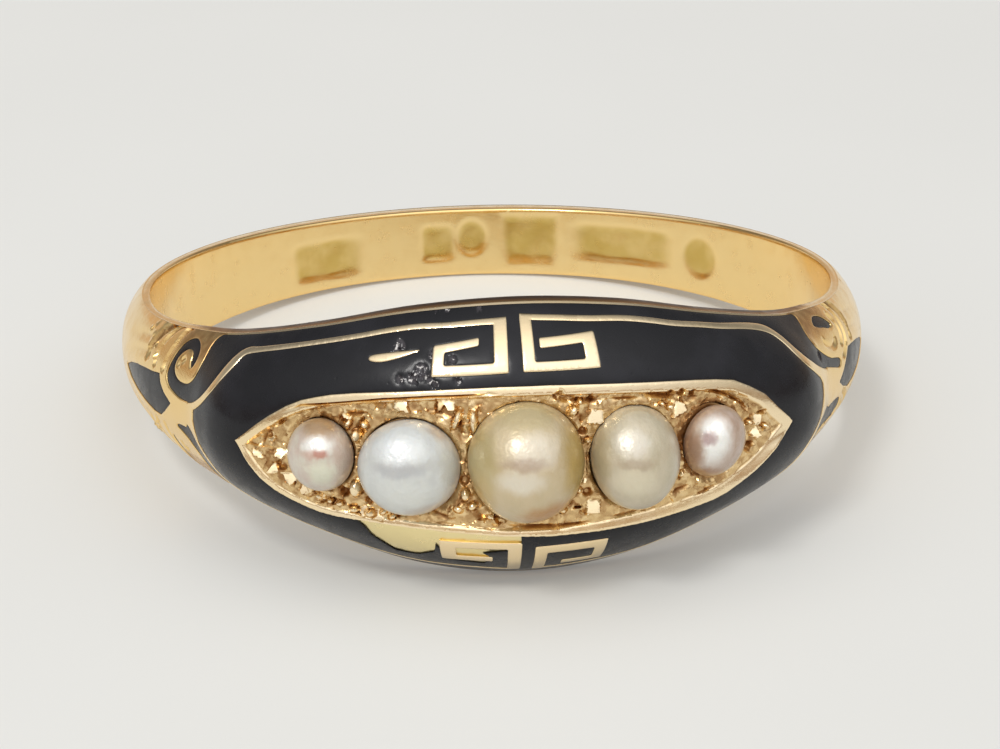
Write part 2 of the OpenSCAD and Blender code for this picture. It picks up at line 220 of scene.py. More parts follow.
def mirrored(rows):
    return [(angle, -z) for angle, z in rows]


def ahead(outline):
    return np.roll(outline, -1, axis=0)


def behind(outline):
    return np.roll(outline, 1, axis=0)


def left_of(way):
    """Unit vectors to the left of some directions."""
    way = normed(way)
    return np.c_[-way[:, 1], way[:, 0]]


def local(points, angle, z, heading=0):
    """How far points lie from a place on the plan, along and across a heading."""
    d, (c, s) = points - (angle * ARC, z), toward(heading)
    return d @ (c, s), d @ (-s, c)


def divided(points, step, closed=True):
    """The same line with its straight stretches cut into steps."""
    out = []
    for a, b in zip(points, ahead(points) if closed else points[1:]):
        n = max(1, int(np.ceil(length(b - a) / step)))
        out.append(a + (b - a) * np.linspace(0, 1, n, endpoint=False)[:, None])
    return np.vstack(out if closed else out + [points[-1:]])


def rounded(points, closed=False, per_span=6):
    """A smooth curve through points."""
    before, after = (points[-1:], points[:2]) if closed else (points[:1], points[-1:])
    p = np.vstack([before, points, after])
    u = np.linspace(0, 1, per_span, endpoint=False)[:, None]
    out = [.5 * (2 * p1 + (p2 - p0) * u + (2 * p0 - 5 * p1 + 4 * p2 - p3) * u ** 2
                  + (3 * p1 - p0 - 3 * p2 + p3) * u ** 3) for p0, p1, p2, p3 in zip(p, p[1:], p[2:], p[3:])]
    return np.vstack(out if closed else out + [points[-1:]])


def stroke(rows):
    """Outline of a line of changing width."""
    both = rounded(np.c_[plan(rows), [row[2] for row in rows]], per_span=4)
    centre = both[:, :2]
    side = left_of(np.gradient(centre, axis=0)) * both[:, 2:] / 2
    return np.vstack([centre + side, (centre - side)[::-1]])


def blunted(points, radius):
    """The same closed outline with its corners cut round."""
    way = np.array([behind(points), ahead(points)]) - points
    reach = way * np.minimum(radius / length(way), .45)[:, :, None]
    share, bend = np.array([[1, .45, .45, 1], [0, .1, .1, 0]])[:, :, None, None]
    out = points + reach[[0, 0, 1, 1]] * share
    out += bend * (out.mean(0) - points)
    return out.swapaxes(0, 1).reshape(-1, 2)


def key_outline(key):
    """A Greek key: near bar, foot, far bar and inner bar."""
    side, near, far, free, near_w, far_w, foot_0, foot_1, bar_0, bar_1, line, fall, rise = key
    way = copysign(1, far - near)
    near_in, far_in = near + way * near_w, far - way * far_w
    rows = [(near, line), (near, foot_0), (far, foot_0), (far, bar_1), (free, bar_1 + rise),
            (free, bar_0 + rise), (far_in, bar_0), (far_in, foot_1), (near_in, foot_1), (near_in, line)]
    rows = [(a, side * (z - fall * ((a - near) / (far - near)) ** 2)) for a, z in rows]
    return blunted(plan(rows), KEY_CORNER)


def inside(points, outline):
    """Which points lie inside a closed outline."""
    near = np.where(((points > outline.min(0)) & (points < outline.max(0))).all(1))[0]
    x, y = points[near].T
    odd = np.zeros(len(near), bool)
    for (ax, ay), (bx, by) in zip(outline, ahead(outline)):
        if ay != by:
            odd ^= ((ay > y) != (by > y)) & (x < ax + (y - ay) * (bx - ax) / (by - ay))
    out = np.zeros(len(points), bool)
    out[near] = odd
    return out


STEP = .06
EDGE_STRIP = .03


def strip_outline(side, strip_left, strip_right, line_left, line_right):
    """The black strip between the line and the side edge."""
    edge = plan([(angle, side * BORE_R) for angle in np.arange(-42, 40.1, 2)])
    line = plan(line_right[::-1][1:-1] + line_left[1:-1])
    x, z = np.vstack([rounded(plan(strip_left))[::-1], edge, rounded(plan(strip_right)), line]).T
    most = corner_z(x / ARC) - EDGE_STRIP
    return np.c_[x, np.clip(z, -most, most)]


def make_outlines():
    """Every outline in the plan, in short steps, by name."""
    shapes = {}
    for half, side, *tables in (
            ("upper", 1, STRIP_LEFT, STRIP_RIGHT, LINE_LEFT, LINE_RIGHT),
            ("lower", -1, STRIP_LEFT_LOW, STRIP_RIGHT_LOW, LINE_LEFT_LOW, LINE_RIGHT_LOW)):
        shapes["strip_" + half] = strip_outline(side, *tables)
        shapes["line_left_" + half], shapes["line_right_" + half] = map(stroke, tables[2:])
    shapes.update(eye_right=rounded(plan(EYE_RIGHT), True), eye_left=rounded(plan(SLIT_LEFT_LOW), True))
    shapes["field"] = plan([(-48.2, 0)] + LINE_LEFT[::-1][2:] + LINE_RIGHT[:-3]
                           + [(46.2, .45), (46, .1), (45.6, -.1)] + LINE_RIGHT_LOW[::-1][3:]
                           + LINE_LEFT_LOW[:-3])
    for (side, left, *_), (_, right, *_) in (KEYS[:2], KEYS[2:]):
        rows = [(left, 2.6), (left, 3.16), (right, 3.16), (right, 2.6)]
        shapes["gap_%d" % side] = plan([(angle, side * z) for angle, z in rows])
    shapes["rim"] = plan(RIM_UPPER + RIM_LOWER)
    shapes.update(("key_%d" % i, key_outline(key)) for i, key in enumerate(KEYS))
    shapes.update(dash=rounded(plan(DASH), True), bare=plan(BARE), panel_left=plan(PANEL_LEFT),
                  panel_right=plan(PANEL_RIGHT))
    return {name: divided(outline, STEP) for name, outline in shapes.items()}


OUTLINES = make_outlines()
GOLD, BARE_FLOOR, ENAMEL, PANEL_L, PANEL_R = range(5)
DEPTHS = [0, .07, RECESS, RECESS, RECESS]


def region_of(points):
    """Which region each point of the plan lies in."""
    at = {name: inside(points, outline) for name, outline in OUTLINES.items()}

    def any_of(*starts):
        return np.any([at[name] for name in at if name.startswith(starts)], axis=0)
    raised = any_of("rim", "dash", "key") | any_of("line") & ~any_of("gap")
    black = any_of("strip", "field", "gap") & ~raised | any_of("eye")
    region = np.where(black, ENAMEL, GOLD)
    region[black & at["bare"]] = BARE_FLOOR
    region[at["panel_left"]] = PANEL_L
    region[at["panel_right"]] = PANEL_R
    return region


def tree_of(places):
    """A search tree over places on the plan."""
    tree = kdtree.KDTree(len(places))
    for i, (x, y) in enumerate(places):
        tree.insert((x, y, 0), i)
    tree.balance()
    return tree


def nearest(tree, points, n):
    """The n places nearest to each point, by number, and how far off they are."""
    hits = np.array([[hit[1:] for hit in tree.find_n((x, y, 0), n)] for x, y in points])
    return hits[:, :, 0].astype(int), hits[:, :, 1]


def to_segment(points, a, b):
    """Distance from each point to a segment, and the share of the way along it."""
    way = b - a
    t = unit(((points - a) * way).sum(1) / np.maximum((way ** 2).sum(-1), 1e-12))
    return length(points - a - way * t[:, None]), t


def edge_field(starts, ends):
    """Measures how far points are from the nearest of many short segments."""
    tree = tree_of((starts + ends) / 2)

    def distance(points):
        near, _ = nearest(tree, points, 4)
        return np.min([to_segment(points, starts[k], ends[k])[0] for k in near.T], axis=0)
    return distance


def field_of(outlines):
    return edge_field(np.vstack(outlines), np.vstack([ahead(o) for o in outlines]))


def line_distance(points, line):
    """Distance from each point to an open line, and the share of the way along it."""
    away, share = np.swapaxes([to_segment(points, a, b) for a, b in zip(line, line[1:])], 0, 1)
    i = away.argmin(0)
    return away.min(0), (i + share[i, np.arange(len(i))]) / len(away)


def cells(points, size, seed):
    """Small flat facets: each point's height on its tilted facet, the facet's number, and its border."""
    rng = np.random.default_rng(seed)
    reach = np.array([HEAD_END * ARC, 3.4])
    n = int(np.prod(2 * reach / size))
    seeds = (2 * rng.random((n, 2)) - 1) * reach
    tilt, number = rng.normal(size=(n, 2)), rng.random(n)
    near, far = nearest(tree_of(seeds), points, 2)
    facet = near[:, 0]
    height = np.clip(((points - seeds[facet]) * tilt[facet]).sum(1) / size, -1, 1)
    return height, number[facet], (far[:, 1] - far[:, 0]) / size


# Prongs and grains raised round the pearls. Columns: angle, height, length, width, heading, rise
GRAINS = [(-20.6,.52,.32,.22,80,.17), (-21.6,.8,.19,.15,30,.13), (-19.5,.8,.21,.16,-40,.13),
    (-20.8,-.72,.44,.3,84,.18), (-8.2,1,.5,.19,70,.15), (-6.2,.94,.58,.2,95,.15), (-7.3,-.75,.3,.24,90,.14),
    (-6.5,-1.02,.24,.19,40,.12), (-8.2,-1.1,.2,.16,-30,.11), (-4.4,-1.28,.18,.13,0,.1),
    (5.8,1.12,.28,.2,60,.13), (6.6,1.33,.14,.13,0,.14), (7.5,.42,.17,.13,0,.12), (4.3,-1.18,.2,.16,0,.14),
    (6.2,-.72,.19,.15,0,.13), (18.1,.98,.2,.14,0,.12), (17,1.08,.13,.11,0,.1), (19.4,-.62,.18,.13,60,.09),
    (29.2,.28,.15,.13,0,.13), (31.8,.1,.19,.12,-20,.12), (-25.8,-1.02,.18,.12,-20,.09),
    (-24.3,-1.1,.15,.12,0,.1), (-23,-1.13,.21,.14,10,.12), (-21.2,-1.24,.25,.16,0,.13),
    (-19.1,-1.3,.25,.19,0,.16), (-17.4,-1.24,.2,.13,30,.11), (-16.3,-1.34,.22,.13,20,.11)]
# Flat cuts made with a bright tool. Columns: angle, height, size, heading of the fall, fall, turn
CUTS = [(-33.8,-.2,.35,62,.66,10), (-31.9,-.5,.38,64,.64,40), (-30.7,-.1,.31,64,.66,0),
    (-29.4,-.66,.34,66,.64,30), (-27.7,-.9,.3,68,.62,60), (-25.6,-1.06,.26,71,.6,20),
    (-32.2,.24,.3,150,.3,20), (-20,-1.26,.3,80,.57,30), (-18,-1.33,.34,82,.58,80), (8.4,.92,.52,95,.3,90),
    (8.2,-1.1,.46,100,.5,-90), (19.6,.88,.42,110,.36,90), (7,-.52,.24,90,.45,0), (-21.9,.98,.32,85,.4,90),
    (30.8,.3,.3,120,.5,0), (30.2,-.02,.3,130,.62,40), (-14.9,1.32,.34,100,.3,90), (-8.9,1.32,.26,80,.4,20)]
# V-shaped cuts. Columns: angle, height, length, width, heading, depth
GOUGES = [(-20.7,1.02,.7,.15,4,.12), (3.9,1.52,.36,.18,32,.11), (4.9,1.43,.44,.14,-8,.09),
    (17,1.26,1.05,.15,-9,.13), (12.2,1.3,.9,.09,-4,.07), (31.4,.44,.34,.13,0,.13), (28.6,.65,.3,.12,-48,.09),
    (29.3,-.24,.4,.15,-4,.13), (1.4,-1.58,1.5,.15,-1,.12), (5.6,-1.56,.9,.1,3,.08), (19.4,-1,.6,.13,14,.09),
    (12.4,-1.42,.9,.1,8,.06), (23,-1.16,.7,.09,16,.05), (-10.4,-1.26,.7,.15,-20,.09), (6.9,1.34,1,.17,-4,.12),
    (-33.2,.2,.4,.15,62,.1), (-30.6,.66,.44,.12,40,.09)]
# Round holes left by the tool. Columns: angle, height, radius, depth
HOLES = [(18.2,1.3,.085,.11), (19.7,1.27,.105,.13), (21.3,1.22,.085,.11), (7.4,-.8,.12,.12),
    (-22.3,-.84,.13,.12), (-19.2,-1,.11,.11), (-7.4,-.42,.13,.14), (8,1.36,.09,.07), (6.9,.64,.11,.12),
    (-32.3,.32,.1,.1)]
# Long grooves inside the rim: half width, depth, then angle and height of each point
RIM_GROOVES = [
    (.032, .07, [(-31,.84), (-27.8,1.1), (-23.8,1.22), (-20.6,1.32), (-17.2,1.42), (-14,1.48), (-11.1,1.53),
        (-8.6,1.55), (-5.4,1.58), (-2.8,1.6)]),
    (.055, .08, [(22.6,1.22), (24.4,1.16), (26.4,1), (28.2,.78), (29.2,.56)]),
]
# Places cut roughly: half width, strength, then angle and height of each point
ROUGH = [
    (.15, 1, [(-32.6,-.34), (-30.4,-.66), (-28,-.88), (-25,-1.1), (-22,-1.24), (-19,-1.33), (-16,-1.36)]),
    (.16, 1, [(-33.8,-.1), (-31.4,-.15), (-30.7,-.38)]),
    (.11, .8, [(-32.2,0), (-31.6,.42)]),
    (.15, 1, [(-22.6,.86), (-20.6,.56), (-19.2,.9)]),
    (.16, 1, [(-22.8,-.85), (-20.6,-.66), (-19,-1.02)]),
    (.17, 1, [(-10.2,1.28), (-7.8,1.1), (-7.2,.62), (-5.6,1.22)]),
    (.15, 1, [(-9.4,-1.24), (-7.2,-.8), (-5.6,-1.24), (-3,-1.42)]),
    (.12, .9, [(4.6,1.34), (6.6,.9), (8.8,1.32)]),
    (.12, .9, [(4,-1.26), (6.2,-.8), (6.4,-1.2)]),
    (.13, .6, [(-18.6,1.2), (-14.5,1.27), (-11,1.26)]),
    (.11, .8, [(16.4,1.14), (19,1), (21.4,1.1)]),
    (.15, .7, [(29,.6), (30.6,.08), (29,-.34)]),
    (.09, .6, [(17.6,-.95), (20,-.86), (22,-1.02)]),
]
# The rim's flat border above and below the pearls. Columns: angle, width, drop to the plate inside
FLAT_UPPER = np.array([(-37,.16,.09), (-30,.2,.11), (-10,.17,.11), (10,.18,.11), (24,.2,.11), (30,.22,.06),
    (37,.22,.04)])
FLAT_LOWER = np.array([(-37,.13,.04), (-30,.1,.05), (-14,.1,.07), (0,.11,.08), (10,.17,.05), (25,.24,.03),
    (37,.22,.03)])
BORDER_SLOPE = .08
LOWER_TILT = .5
# Width of the hollow round each pearl, one row a pearl. Columns: direction in degrees, width
SEATS = [[(0,.03), (60,.08), (100,.14), (150,.15), (200,.06), (260,.06), (300,.09), (330,.07)],
    [(0,.05), (40,.12), (75,.04), (150,.03), (220,.05), (270,.05), (300,.12), (335,.08)],
    [(0,.04), (45,.06), (90,.03), (150,.04), (190,.07), (225,.13), (270,.14), (315,.1)],
    [(0,.04), (90,.04), (130,.03), (180,.04), (230,.09), (270,.06), (300,.05)],
    [(0,.05), (60,.08), (100,.11), (150,.1), (200,.11), (245,.16), (280,.17), (320,.08)]]
SEAT_DIP = .05


def border_size(points):
    """Width of the rim's flat border at each point, and the drop inside it."""
    upper, lower = ([np.interp(points[:, 0] / ARC, table[:, 0], table[:, k]) for k in (1, 2)]
                    for table in (FLAT_UPPER, FLAT_LOWER))
    return np.where(points[:, 1] > 0, upper, lower)


def beyond_pearl(points, pearl):
    """How far outside a pearl's outline each point is, and in which direction."""
    angle, z, along, across, *_ = pearl
    d = (points - (angle * ARC, z)) / (along, across)
    return (length(d) - 1) * (along + across) / 2, np.degrees(np.arctan2(d[:, 1], d[:, 0])) % 360


def rim_relief(points, to_edge):
    """Height inside the pointed rim, and how dark it is: painted shade in the crease at the foot of the
    border, between close pearls and in the cuts, grooves and seats, with random darker facets and a darker
    plate.
    """
    flat, drop = border_size(points)
    height = -drop * ease(to_edge, flat, flat + BORDER_SLOPE)
    height += LOWER_TILT * unit(flat - to_edge) * ease(-points[:, 1], .05, .5)
    # Painted shade: a dark line in the crease at the foot of the border's slope.
    dirt_and_shade = .5 * bell(to_edge, flat + .08, .035)
    plate = ease(to_edge, flat + .02, flat + .09)
    rough = .32 * plate
    for width, strength, rows in ROUGH:
        away, _ = line_distance(points, plan(rows))
        darken(rough, fade(away, width * .5, width * 1.3) * strength * plate)
    big, number, border = cells(points, .23, 5)
    small, shade, _ = cells(points, .1, 7)
    height += rough * (.08 * big + .016 * small - .04 * (number > .62))
    # Random darker facets in rough places, darker along the facets' borders; then the whole plate darkened by
    # random amounts.
    dark = unit((number - .45) * 3) * (.6 + .4 * shade) + .6 * unit(1 - border / .2)
    darken(dirt_and_shade, .9 * unit(1.4 * rough) * unit(dark))
    darken(dirt_and_shade, (.34 + .32 * shade) * plate)
    # Painted shade where two pearls' seats come close, with the plate sunk a little there.
    gap = np.sort([beyond_pearl(points, pearl)[0] for pearl in PEARLS], axis=0)[1]
    between = fade(gap, .04, .22)
    height -= .05 * between
    darken(dirt_and_shade, between)
    cut_plate(points, height, dirt_and_shade, drop, small)
    raise_grains(points, height, dirt_and_shade, drop, big, shade)
    sink_seats(points, height, dirt_and_shade, shade)
    return height, dirt_and_shade


def cut_plate(points, height, dirt_and_shade, drop, small):
    """Grooves, flat cuts, gouges and round holes in the plate, with painted shade darkening the grooves,
    gouges, holes and the ring round each flat cut, whose face is left clean.
    """
    for width, depth, rows in RIM_GROOVES:
        away, along = line_distance(points, plan(rows))
        cut = unit(1 - away / width) * ease(along, 0, .2) * fade(along, .8, 1)
        height -= depth * cut
        darken(dirt_and_shade, .8 * cut)
    uneven = np.random.default_rng(31)
    for angle, z, size, heading, fall, turn in CUTS:
        d = (points - (angle * ARC, z)) / size
        turns = np.radians(turn + np.array([0, 80, 170, 260]) + uneven.uniform(-24, 24, 4))
        sides = d @ (np.cos(turns), np.sin(turns)) + uneven.uniform(.22, .48, 4)
        within = sides.min(axis=1) + .02 * small
        share = ease(within, 0, .05)
        height += (.03 - drop - fall * size * (d @ toward(heading)) - height) * share
        dirt_and_shade *= 1 - share
        darken(dirt_and_shade, .75 * ease(within, -.14, 0) * (1 - share))
    # Painted shade in the gouges and holes.
    for angle, z, long, wide, heading, depth in GOUGES:
        along, across = local(points, angle, z, heading)
        cut = unit(1 - np.abs(across) / (wide / 2)) * unit(1.6 * (1 - np.abs(along) / (long / 2)))
        height -= .8 * depth * cut
        darken(dirt_and_shade, .78 * ease(cut, 0, .7))
    for angle, z, r, depth in HOLES:
        q = np.hypot(*local(points, angle, z)) / r
        height -= depth * fade(q, .45, 1.05)
        darken(dirt_and_shade, .78 * fade(q, .6, 1.3))


def raise_grains(points, height, dirt_and_shade, drop, big, shade):
    """Prongs and grains, clean on top, with painted shade at the foot."""
    for angle, z, long, wide, heading, rise in GRAINS:
        along, across = local(points, angle, z, heading)
        q = np.hypot(along / (long / 2), across / (wide / 2))
        dome = -drop - .05 + (rise + .05) * unit(1 - q ** 2.6) ** .6 + .012 * big
        height[:] = np.where(q < 1, np.maximum(height, dome), height)
        dirt_and_shade[q < .85] *= .15
        foot = bell(q, 1.1, .18) * (q >= .9)
        height -= .03 * foot * (q >= 1)
        darken(dirt_and_shade, .6 * foot * (.4 + .6 * shade))


def sink_seats(points, height, dirt_and_shade, shade):
    """The hollow round each pearl, darkened with painted shade, and the floor under it."""
    for pearl, seat in zip(PEARLS, SEATS):
        out, way = beyond_pearl(points, pearl)
        width = np.interp(way, *np.array(seat).T, period=360) * (.75 + .5 * shade)
        height -= SEAT_DIP * fade(out, 0, width * 1.3) * np.clip(width / .08, .3, 1.5)
        under = fade(out, -.05, .01)
        height += (.02 - RECESS - height) * under
        # Painted shade in the hollow round the pearl.
        darken(dirt_and_shade, .72 * fade(out, width * .1, width * 1.25))


# Grooves round the scrolls and along the shoulders: width, depth, then angle and height of each point
LEFT_GROOVES = [
    (.11, .13, [(-56,1.78), (-57.4,1.6), (-58.2,1.34), (-58.9,1.09), (-59.4,.82), (-59.4,.56)]),
    (.1, .12, [(-58.2,1.74), (-60.2,1.58), (-61.8,1.32), (-62.6,1.06), (-62.8,.82), (-62.2,.56)]),
    (.22, .13, [(-60.8,1.7), (-63,1.54), (-64.8,1.3), (-65.8,1.08), (-66.2,.86), (-65.4,.6)]),
    (.18, .05, [(-66,.82), (-68,.76), (-72,.64), (-76,.5), (-79.5,.4)]),
    (.18, .05, [(-67,1.12), (-70,1.04), (-75,.92), (-79.5,.81)]),
    (.08, .05, [(-55.2,.9), (-55,1.04), (-54.3,1.12), (-53.7,1.02)]),
]
RIGHT_GROOVES = [
    (.09, .09, [(58.6,1.46), (60.1,1.18), (60,.9), (58.4,.66)]),
    (.1, .12, [(59.8,1.7), (61.4,1.42), (62,1.07), (61.5,.76), (59.9,.53), (57.8,.36)]),
    (.16, .12, [(61.8,1.66), (63.6,1.4), (64.6,1.07), (64.7,.8), (63.8,.56)]),
    (.18, .05, [(65,.82), (68,.74), (72,.62), (76,.49), (79.5,.4)]),
    (.18, .05, [(65.8,1.14), (70,1.04), (75,.92), (79.5,.81)]),
    (.1, .06, [(57.4,1.02), (56.6,.84), (55,.82), (53.2,.96), (52.2,1.14)]),
]
SHOULDER_GROOVES = [(width, depth, rounded(plan(turn(rows)), per_span=5))
                    for width, depth, rows in LEFT_GROOVES + RIGHT_GROOVES for turn in (list, mirrored)]
# Dots punched into the hollow behind each left scroll. Columns: angle, height, radius
DOTS = [(-65,1.3,.07), (-67.2,1.2,.07), (-69.4,1.24,.06), (-64.4,1.04,.06), (-66.2,.96,.06), (-63.2,.82,.06),
    (-68.4,1.36,.05)]
CARVED_FROM = 47


def shoulder_relief(points):
    """Height of the carved shoulders, with painted shade darkening the grooves, and darker near the side
    edges up to 60 degrees round.
    """
    height, dirt_and_shade = np.zeros((2, len(points)))
    angle = np.abs(points[:, 0]) / ARC
    for width, depth, line in SHOULDER_GROOVES:
        away, along = line_distance(points, line)
        cut = fade(away, 0, width) * fade(angle, 70, 81) * ease(along, 0, .16) * fade(along, .8, 1)
        height -= depth * cut
        # Painted shade in the grooves.
        darken(dirt_and_shade, cut ** 2 * min(.85, depth / .15))
    darken(dirt_and_shade, .62 * ease(np.abs(points[:, 1]), 1, 1.4) * fade(angle, 56, 60))
    for at, z, r in DOTS:
        for side in (1, -1):
            q = np.hypot(*local(points, at, side * z)) / r
            height += .05 * np.sqrt(unit(1 - q ** 2))
    return height, dirt_and_shade


def relief(points, to_edge, region):
    """Height of the finished gold over the plain surface, and how dark it is with dirt and painted shade."""
    height, dirt_and_shade = np.zeros((2, len(points)))
    if region == BARE_FLOOR:
        height += .01 * cells(points, .4, 8)[0]
    if region == GOLD:
        height -= .022 * unit(1 - to_edge / .035) ** 2
        rim = inside(points, OUTLINES["rim"])
        rise, dirt_and_shade[rim] = rim_relief(points[rim], to_edge[rim])
        height[rim] += rise
        shoulder = np.abs(points[:, 0]) / ARC > CARVED_FROM
        rise, dirt_and_shade[shoulder] = shoulder_relief(points[shoulder])
        height[shoulder] += rise
    return height, dirt_and_shade


# Points of the mesh, close together where the surface is fine

def beside(line, width):
    """Points along a cut's middle and sides."""
    line = divided(line, STEP / 2, closed=False)
    side = left_of(np.gradient(line, axis=0))
    return np.vstack([line + side * share * width for share in (-1, -.5, 0, .5, 1)])


def oval(angle, z, along, across, n, heading=0):
    """Points on an oval round a place on the plan."""
    t, (c, s) = np.linspace(0, 2 * np.pi, n, endpoint=False), toward(heading)
    x, y = along * np.cos(t), across * np.sin(t)
    return np.c_[x * c - y * s, x * s + y * c] + (angle * ARC, z)


def rings(angle, z, long, wide, heading, shares):
    """Points in the middle of a grain and on rings round it."""
    return np.vstack([(angle * ARC, z)] + [
        oval(angle, z, share * long / 2, share * wide / 2, max(8, int(share * 18)), heading)
        for share in shares])


def border_points():
    """Points along the inner slope of the rim's flat border."""
    rim = OUTLINES["rim"]
    inward = -left_of(ahead(rim) - behind(rim))
    flat, _ = border_size(rim)
    distance, out = field_of([rim]), []
    for share in (-.1, .2, .5, .8, 1.1):
        far = flat + share * BORDER_SLOPE
        points = rim + inward * far[:, None]
        out.append(points[np.abs(distance(points) - far) < .01])
    return np.vstack(out)


def detail_points():
    """Points that keep the cuts, grains and seats crisp."""
    out = [border_points()] + [beside(plan(rows), width) for width, _, rows in RIM_GROOVES]
    out += [beside(line, width) for width, _, line in SHOULDER_GROOVES]
    for angle, z, long, wide, heading, _ in GOUGES:
        middle, way = np.array((angle * ARC, z)), toward(heading) * long / 2
        out.append(beside(np.array([middle - way, middle + way]), wide / 2))
    out += [rings(*grain[:5], (.4, .72, .92, 1, 1.15, 1.35)) for grain in GRAINS]
    out += [rings(angle, z, 2 * r, 2 * r, 0, (.4, .7, .9, 1.1)) for angle, z, r, _ in HOLES]
    for angle, z, r in PITS:
        patch = hex_grid(-r, r, r, .028)
        out.append(patch[length(patch) < r] + (angle * ARC, z))
    for angle, z, along, across, *_ in PEARLS:
        out += [oval(angle, z, along + far, across + far, 150) for far in (-.05, -.02, .005, .03, .06)]
    return np.vstack(out)


def hex_grid(left, right, half, step):
    x, y = np.meshgrid(np.arange(left, right, step), np.arange(-half, half, step * sqrt(3) / 2))
    x += step / 2 * (np.arange(len(y)) % 2)[:, None]
    return np.c_[x.ravel(), y.ravel()]


def room(points):
    """How far inside the side edge each point of the plan is."""
    return corner_z(points[:, 0] / ARC) - np.abs(points[:, 1])


# Where the mesh is finer, at the scrolls and at the keys, and its steps
SCROLL_MESH, KEY_MESH = (46.5, 80), (-22, 13)
COARSE, RIM_STEP, SCROLL_STEP, KEY_STEP = .15, .042, .066, .085


def scatter(distance):
    """Points that fill the plan, closer together where the relief is fine."""
    low, high = SCROLL_MESH
    left, right = KEY_MESH
    coarse = hex_grid(-HEAD_END * ARC + .08, HEAD_END * ARC - .07, 3.3, COARSE)
    fine = hex_grid(-38 * ARC, 38 * ARC, 1.9, RIM_STEP)
    scroll = hex_grid(-high * ARC, high * ARC, 2, SCROLL_STEP)
    keys = hex_grid(left * ARC, right * ARC, 3.3, KEY_STEP)
    fine = fine[inside(fine, OUTLINES["rim"])]
    scroll = scroll[np.abs(scroll[:, 0]) > low * ARC]
    keys = keys[~inside(keys, OUTLINES["rim"])]
    angle = coarse[:, 0] / ARC
    at_keys = (angle > left) & (angle < right)
    plain = ~inside(coarse, OUTLINES["rim"]) & (np.abs(angle) <= low) & ~at_keys
    coarse = coarse[plain | (np.abs(angle) > high)]
    points, detail = np.vstack([coarse, fine, scroll, keys]), detail_points()
    _, far = nearest(tree_of(detail), points, 1)
    points = np.vstack([points[far[:, 0] > .025], detail])
    points = points[room(points) > .05]
    return points[distance(points) > .035]


def offsets(distance):
    """Points just beside every outline, which round its edges."""
    out = []
    for outline in OUTLINES.values():
        normal = left_of(ahead(outline) - behind(outline))
        for far in (-.012, .012, -.03, .03):
            points = outline + far * normal
            out.append(points[np.abs(distance(points) / abs(far) - 1) < .12])
    points = np.vstack(out)
    return points[room(points) > .03]


# Columns of the whole ring: fine at the head and inside the back, where the punched marks are
HEAD_COLUMNS = np.arange(-HEAD_END, HEAD_END + .01, .82)
BACK_COLUMNS = np.r_[HEAD_END:126:2.2, 126:234:.54, 234.2:360 - HEAD_END:2.2, 360 - HEAD_END]
BACK_ROWS = np.r_[-1, -.975, -.94, np.linspace(-.88, .88, 15), .94, .975, 1]


def boundary_edges(faces, keys):
    """Edges between faces of different keys: from, to, key here and key beyond."""
    sides = {}
    for k, (a, b, c) in zip(keys, faces):
        for edge in ((a, b), (b, c), (c, a)):
            sides[edge] = k
    return [(a, b, k, sides[b, a]) for (a, b), k in sides.items() if (b, a) in sides and sides[b, a] != k]


def head_plan():
    """The head's plan: points, triangles, their regions, and each point's distance to an edge."""
    distance = field_of(list(OUTLINES.values()))
    low = np.c_[HEAD_COLUMNS * ARC, -corner_z(HEAD_COLUMNS)]
    end_z = corner_z(HEAD_END) * BACK_ROWS[1:-1]
    right = np.c_[0 * end_z + HEAD_END * ARC, end_z]
    border = np.vstack([low, right, low[::-1] * (1, -1), right[::-1] * (-1, 1)])
    loops, start, edges = [border, *OUTLINES.values()], 0, []
    for n in map(len, loops):
        edges += [(start + i, start + (i + 1) % n) for i in range(n)]
        start += n
    points = np.vstack(loops + [offsets(distance), scatter(distance)])
    points, _, faces, *_ = geometry.delaunay_2d_cdt([Vector(p) for p in points], edges, [], 0, 1e-5)
    points = np.array([tuple(p) for p in points])
    faces = np.array([f for f in faces if len(f) == 3])
    middle = points[faces].mean(1)
    keep = np.abs(middle[:, 1]) < np.interp(middle[:, 0] / ARC, HEAD_COLUMNS, corner_z(HEAD_COLUMNS))
    faces, middle = faces[keep], middle[keep]
    u, v = (points[faces[:, k]] - points[faces[:, 0]] for k in (1, 2))
    turned = u[:, 0] * v[:, 1] < u[:, 1] * v[:, 0]
    faces[turned] = faces[turned][:, ::-1]
    region = region_of(middle)
    borders = np.array([edge[:2] for edge in boundary_edges(faces, region)])
    return points, faces, region, edge_field(*points[borders.T])(points)


PLAN, FACES, REGION, TO_EDGE = head_plan()


def used_by(faces):
    """The points of the plan that faces use, and each point's new number."""
    used, number = np.unique(faces), np.zeros(len(PLAN), int)
    number[used] = np.arange(len(used))
    return used, number


# Pieces of the visual model

WELDS_PER_MM = 2000


def new_object(name, data):
    made = bpy.data.objects.new(name, data)
    bpy.context.scene.collection.objects.link(made)
    return made


